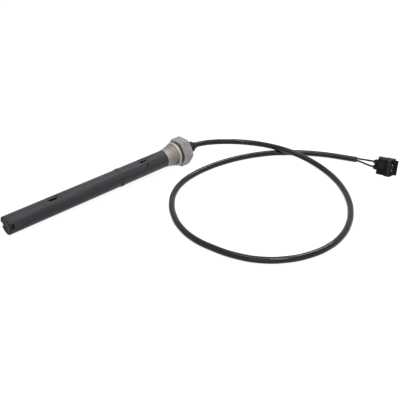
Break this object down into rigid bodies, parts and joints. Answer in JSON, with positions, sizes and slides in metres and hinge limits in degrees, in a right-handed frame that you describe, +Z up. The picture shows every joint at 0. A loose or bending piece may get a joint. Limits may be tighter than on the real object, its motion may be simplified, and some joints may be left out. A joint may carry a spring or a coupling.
{
  "type": "oil level sensor",
  "caption": "Slim black oil level probe with a turned metal collar, a swivel hexagon, a fly lead and a small black plug.",
  "frame": {"origin": "middle of the probe's bounding box in X and Y, without its lead, on the surface it lies on", "axes": "+X along the probe from its tip to its hexagon, +Z up, the lead's loop on the -Y side"},
  "size_m": [0.3099, 0.1991, 0.0242],
  "materials": {
    "tube_plastic": "matt dark grey moulded",
    "natural_plastic": "grey, unfilled",
    "plug_plastic": "satin black moulded",
    "collar_metal": "turned, warm nickel plated",
    "cast_metal": "mottled zinc plated",
    "spring_steel": "drawn",
    "pin_brass": "drawn",
    "tinned_metal": "tinned",
    "black_rubber": "matt",
    "sleeve_gloss": "glossy black sleeve",
    "seal_rubber": "brown silicone",
    "resin": "cast resin"
  },
  "bodies": {
    "probe": {"lower_tube": "tube_plastic", "upper_tube": "tube_plastic", "tip_guide": "tube_plastic", "wire_carrier": "natural_plastic", "measuring_wire": "spring_steel", "tension_spring": "spring_steel", "head_insert": "natural_plastic", "pin_left": "pin_brass", "pin_right": "pin_brass", "potting": "resin", "collar": "collar_metal", "seal_ring": "black_rubber", "retaining_ring": "spring_steel", "crimp_ferrule": "spring_steel", "boot": "black_rubber", "cable": "sleeve_gloss", "wire_upper": "black_rubber", "wire_lower": "black_rubber", "connector_housing": "plug_plastic", "socket_upper": "tinned_metal", "socket_lower": "tinned_metal", "wire_seal_upper": "seal_rubber", "wire_seal_lower": "seal_rubber", "front_seal": "seal_rubber", "terminal_lock": "plug_plastic"},
    "hexagon": {"hex_nut": "cast_metal"}
  },
  "joints": [
    {"name": "hexagon_swivel", "type": "hinge", "parent": "probe", "child": "hexagon", "pos_m": [0.08053, 0, 0.01211], "axis": [0.9997, 0, 0.0235], "continuous": true}
  ]
}
